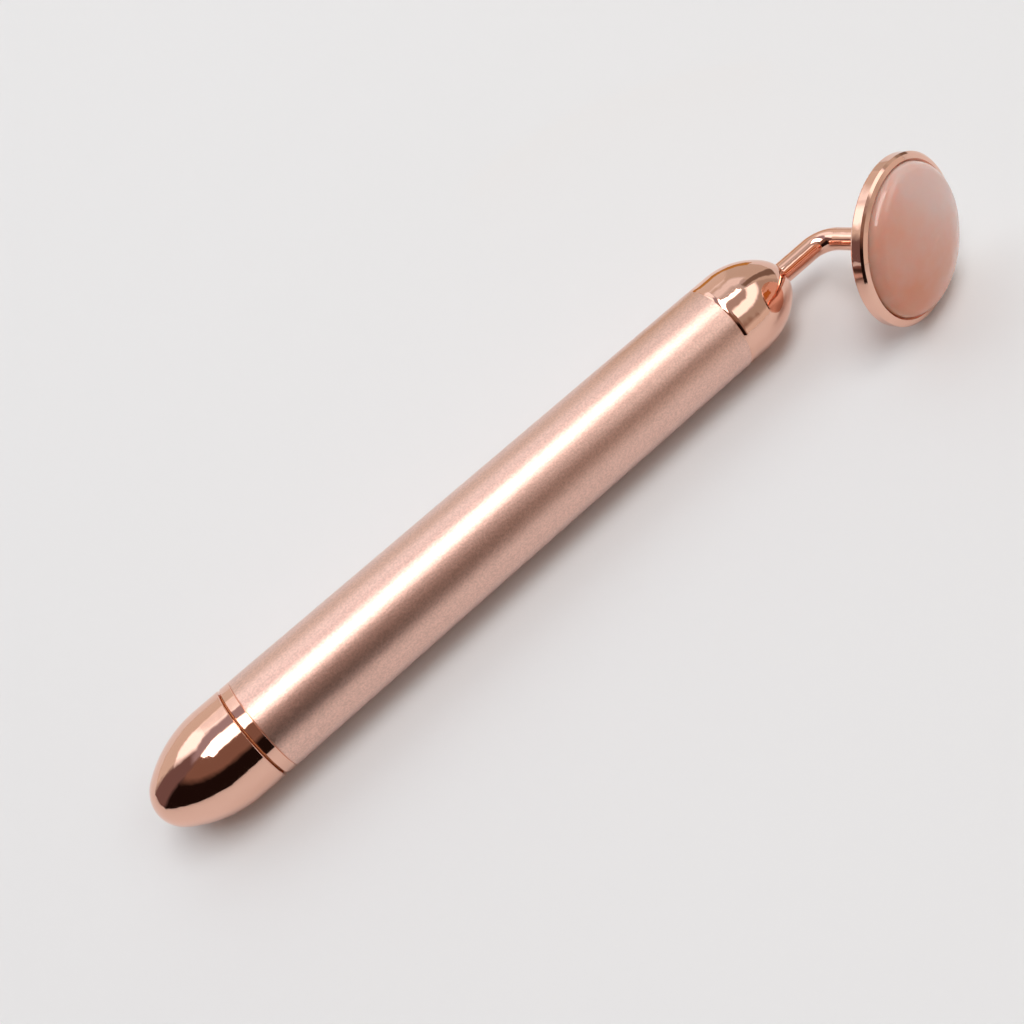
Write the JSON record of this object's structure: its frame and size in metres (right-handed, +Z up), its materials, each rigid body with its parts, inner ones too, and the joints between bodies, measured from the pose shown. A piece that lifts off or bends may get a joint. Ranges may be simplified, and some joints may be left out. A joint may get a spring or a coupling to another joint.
{
  "type": "vibrating beauty bar",
  "caption": "Slim cylindrical battery handle with a twist switch cap, a vibration motor, a bent polished neck and a round cabochon stone in a bezel for facial massage.",
  "frame": {"origin": "middle of the satin barrel, on its axis", "axes": "+X along the barrel towards the stone, +Z up from the table that the bar lies on, -Y the side that the head lies on"},
  "size_m": [0.1679, 0.0326, 0.0291],
  "materials": {
    "polished_rose_gold": "mirror polished rose-gold plating over cast zinc alloy",
    "satin_rose_gold": "fine bead-blasted satin, anodised rose gold",
    "rose_quartz": "polished rose quartz, translucent with cloudy veils",
    "plated_steel": "bright nickel plating",
    "core_steel": "bare laminated or sintered metal",
    "contact_brass": "bright turned brass",
    "winding_copper": "enamelled copper",
    "ferrite": "matt sintered ferrite",
    "cell_metal": "bright cell can",
    "cell_jacket": "plain shrunk film",
    "grey_plastic": "moulded, fine matt",
    "ivory_plastic": "rolled sheet, matt",
    "white_plastic": "moulded, matt",
    "black_rubber": "matt elastomer",
    "red_brown_silicone": "satin silicone sealing ring",
    "red_insulation": "satin wire insulation"
  },
  "bodies": {
    "handle": {"barrel_tube": "satin_rose_gold", "thread_collar": "polished_rose_gold", "dome_cover": "polished_rose_gold", "neck_rod": "polished_rose_gold", "bezel_cup": "polished_rose_gold", "cell_liner": "ivory_plastic", "aa_cell_can": "cell_metal", "aa_cell_jacket": "cell_jacket", "aa_cell_positive_cap": "plated_steel", "aa_cell_insulator_ring": "white_plastic", "contact_holder": "white_plastic", "positive_contact": "plated_steel", "chassis_upper": "grey_plastic", "chassis_lower": "grey_plastic", "chassis_screws": "plated_steel", "ground_clip": "contact_brass", "red_wire": "red_insulation", "black_wire": "black_rubber", "motor_can": "plated_steel", "motor_end_bell": "white_plastic", "motor_front_bush": "contact_brass", "motor_rear_bush": "contact_brass", "motor_magnets": "ferrite", "motor_brushes": "contact_brass", "motor_terminals": "contact_brass", "dome_ring": "black_rubber", "neck_plug": "contact_brass", "neck_cross_pin": "plated_steel", "neck_lock_nut": "plated_steel", "neck_lock_washer": "plated_steel", "head_screw": "plated_steel", "stone_adhesive": "white_plastic", "rose_quartz_stone": "rose_quartz"},
    "spring_seat": {"spring_cup": "plated_steel", "contact_spring": "plated_steel"},
    "twist_cap": {"end_cap": "polished_rose_gold", "cap_thread_neck": "contact_brass", "cap_ring": "red_brown_silicone"},
    "motor_rotor": {"motor_shaft": "plated_steel", "motor_armature": "core_steel", "motor_windings": "winding_copper", "motor_commutator": "winding_copper", "eccentric_weight": "core_steel"}
  },
  "joints": [
    {"name": "cap_travel", "type": "slide", "parent": "handle", "child": "spring_seat", "axis": [-1, 0, 0], "range_m": [-0.0003, 0.00375], "deforming": ["contact_spring"]},
    {"name": "cap_twist", "type": "hinge", "parent": "spring_seat", "child": "twist_cap", "pos_m": [-0.0527, 0, 0], "axis": [-1, 0, 0], "range_deg": [-144.01, 1800.01]},
    {"name": "motor_spin", "type": "hinge", "parent": "handle", "child": "motor_rotor", "pos_m": [0.0412, 0, 0], "axis": [1, 0, 0], "continuous": true}
  ],
  "couplings": [
    {"joint": "cap_twist", "follows": "cap_travel", "rad_per_m": 8377.6}
  ]
}
